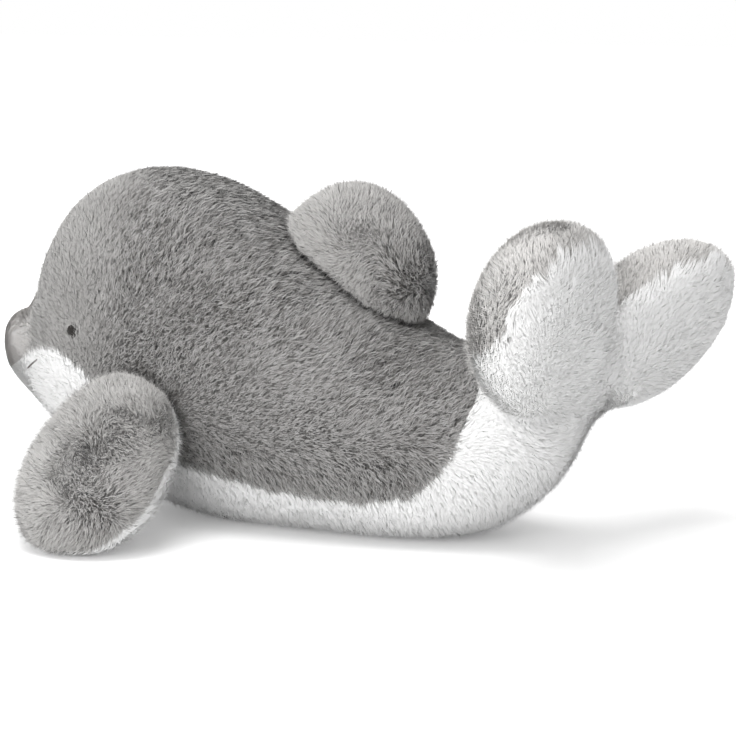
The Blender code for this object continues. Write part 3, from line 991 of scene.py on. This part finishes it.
def make_eye(side, name):
    """A shiny bead in the place of the CAD bead, sunk a little into the fur."""
    low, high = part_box(f"{name}_eye")
    centre, radius = (low + high) / 2, (high.z - low.z) / 2 * EYE_SHARE
    centre.y -= side * EYE_SINK
    centre.x -= EYE_FORWARDS
    made = bmesh.new()
    bmesh.ops.create_uvsphere(made, u_segments=40, v_segments=24, radius=radius)
    bmesh.ops.translate(made, vec=centre, verts=made.verts)
    mesh = bpy.data.meshes.new(f"{name}_eye_bead")
    made.to_mesh(mesh)
    made.free()
    mesh.shade_smooth()
    looks, tree, shader = new_material(f"{name}_bead", Roughness=0.35, Specular_IOR_Level=0.12)
    cloud = object_noise(tree, 300.0, 2.0)
    colour = add_ramp(tree, cloud, (0.3, (0.010, 0.009, 0.008)), (0.8, (0.022, 0.019, 0.017)))
    tree.links.new(colour, shader.inputs["Base Color"])
    piece = new_piece(f"{name}_eye_bead", mesh, looks)
    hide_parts(f"{name}_eye")


def thread_material():
    made, tree, shader = new_material("mouth_thread", Specular_IOR_Level=0.2, Roughness=0.8)
    twist = object_noise(tree, 2000.0, 1.0)
    colour = add_ramp(tree, twist, (0.3, (0.05, 0.04, 0.038)), (0.7, (0.12, 0.10, 0.095)))
    tree.links.new(colour, shader.inputs["Base Color"])
    return made


def make_mouth(form, looks):
    """A short stitch of thread at each end of the mouth, laid on the snout's pile."""
    tree = face_tree(form)
    camera = VIEW_TARGET + view_back() * VIEW_DISTANCE
    turn = math.radians(VIEW_AZIMUTH)
    right = Vector((math.cos(turn), math.sin(turn), 0.0))
    up = view_back().cross(right)
    path = []
    for share in np.linspace(0.0, 1.0, MOUTH_POINTS):
        x, y = (MOUTH_START[k] + (MOUTH_END[k] - MOUTH_START[k]) * share for k in range(2))
        ahead = -view_back() * VIEW_DISTANCE
        ahead += (right * (x - PICTURE_SIDE / 2) - up * (y - PICTURE_SIDE / 2)) / PIXELS_PER_METRE
        place, normal, _, _ = tree.ray_cast(camera, ahead.normalized())
        lift = math.sin(math.pi * share) ** 0.5
        path.append(place + normal * (THREAD_RADIUS * 0.7 * lift - THREAD_SINK))
    for side, name in SIDES:
        curve = bpy.data.curves.new(f"{name}_mouth_stitch", "CURVE")
        curve.dimensions = "3D"
        curve.bevel_depth = THREAD_RADIUS
        curve.bevel_resolution = 3
        curve.use_fill_caps = True
        line = curve.splines.new("POLY")
        line.points.add(len(path) - 1)
        for point, place in zip(line.points, path):
            point.co = (place.x, abs(place.y) * side, place.z, 1.0)
        obj = bpy.data.objects.new("stitch_path", curve)
        bpy.context.scene.collection.objects.link(obj)
        mesh = bpy.data.meshes.new_from_object(obj.evaluated_get(bpy.context.evaluated_depsgraph_get()))
        bpy.data.objects.remove(obj)
        mesh.shade_smooth()
        mesh.materials.clear()
        new_piece(f"{name}_mouth_stitch", mesh, looks)


def way_from(azimuth, elevation):
    """The way from the target to a place at these angles, in degrees. Azimuth 0 is towards -Y."""
    a, e = math.radians(azimuth), math.radians(elevation)
    return Vector((math.sin(a) * math.cos(e), -math.cos(a) * math.cos(e), math.sin(e)))


def view_back():
    return way_from(VIEW_AZIMUTH, VIEW_ELEVATION)


def aimed(name, data, way, distance):
    """A camera or a lamp that looks at the target."""
    obj = bpy.data.objects.new(name, data)
    obj.location = VIEW_TARGET + way * distance
    obj.rotation_mode = "QUATERNION"
    obj.rotation_quaternion = (-way).to_track_quat("-Z", "Y")
    bpy.context.scene.collection.objects.link(obj)
    return obj


def make_camera():
    data = bpy.data.cameras.new("camera")
    data.sensor_width = SENSOR
    data.lens = SENSOR * PIXELS_PER_METRE * VIEW_DISTANCE / PICTURE_SIDE
    bpy.context.scene.camera = aimed("camera", data, view_back(), VIEW_DISTANCE)


def white_to_camera(tree, surface):
    """The surface, with white light of its own added where the camera, a mirror or glass sees it.
    It is stronger far from the toy, where no shadow falls."""
    path = tree.nodes.new("ShaderNodeLightPath")
    seen = path.outputs["Is Camera Ray"]
    for also in ("Is Glossy Ray", "Is Transmission Ray"):
        seen = add_math(tree, "MAXIMUM", seen, path.outputs[also])
    place = tree.nodes.new("ShaderNodeTexCoord").outputs["Object"]
    away = tree.nodes.new("ShaderNodeVectorMath")
    away.operation = "LENGTH"
    tree.links.new(place, away.inputs[0])
    strength = add_node(
        tree, "ShaderNodeMapRange", Value=away.outputs["Value"],
        From_Min=GLOW_REACH[0], From_Max=GLOW_REACH[1], To_Min=FLOOR_GLOW, To_Max=1.0,
    )
    scaled = add_math(tree, "MULTIPLY", seen, strength.outputs["Result"])
    glow = add_node(tree, "ShaderNodeEmission", Strength=scaled)
    both = tree.nodes.new("ShaderNodeAddShader")
    tree.links.new(surface, both.inputs[0])
    tree.links.new(glow.outputs[0], both.inputs[1])
    return both.outputs[0]


def make_floor():
    mesh = bpy.data.meshes.new("floor")
    corners = [(-1, -1), (1, -1), (1, 1), (-1, 1)]
    mesh.from_pydata([(x * FLOOR_REACH, y * FLOOR_REACH, 0) for x, y in corners], [], [(0, 1, 2, 3)])
    looks = bpy.data.materials.new("floor")
    looks.use_nodes = True
    tree = looks.node_tree
    tree.nodes.clear()
    paper = add_node(tree, "ShaderNodeBsdfDiffuse", Color=(*(FLOOR_SHADE,) * 3, 1.0))
    out = tree.nodes.new("ShaderNodeOutputMaterial")
    tree.links.new(white_to_camera(tree, paper.outputs[0]), out.inputs["Surface"])
    mesh.materials.append(looks)
    floor = bpy.data.objects.new("floor", mesh)
    bpy.context.scene.collection.objects.link(floor)


def make_world():
    world = bpy.data.worlds.new("studio")
    world.use_nodes = True
    tree = world.node_tree
    tree.nodes.clear()
    fill = add_node(tree, "ShaderNodeBackground", Color=(1.0, 1.0, 1.0, 1.0), Strength=WORLD_LIGHT)
    white = add_node(tree, "ShaderNodeBackground", Color=(1.0, 1.0, 1.0, 1.0), Strength=1.0)
    path = tree.nodes.new("ShaderNodeLightPath")
    choice = tree.nodes.new("ShaderNodeMixShader")
    tree.links.new(path.outputs["Is Camera Ray"], choice.inputs["Fac"])
    tree.links.new(fill.outputs[0], choice.inputs[1])
    tree.links.new(white.outputs[0], choice.inputs[2])
    out = tree.nodes.new("ShaderNodeOutputWorld")
    tree.links.new(choice.outputs[0], out.inputs["Surface"])
    bpy.context.scene.world = world


def make_lamps():
    for name, azimuth, elevation, distance, size, power in LAMPS:
        data = bpy.data.lights.new(name, "AREA")
        data.shape = "DISK"
        data.size = size
        data.energy = power
        aimed(name, data, way_from(azimuth, elevation), distance)


def main():
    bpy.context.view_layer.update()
    make_camera()
    make_world()
    make_floor()
    make_lamps()
    forms = stuffed_forms()
    puff_up(forms)
    survey(forms)
    looks = make_materials()
    salt = 0
    for form in forms.values():
        make_cloth(form, looks)
        for index, (panel, slot) in enumerate(slots_of(form).items()):
            salt += 1
            grow_fur(form, index, panel, slot, looks, salt)
    for side, name in SIDES:
        make_eye(side, name)
    make_mouth(forms["body"], thread_material())
    bpy.context.scene.view_settings.view_transform = "Standard"


main()
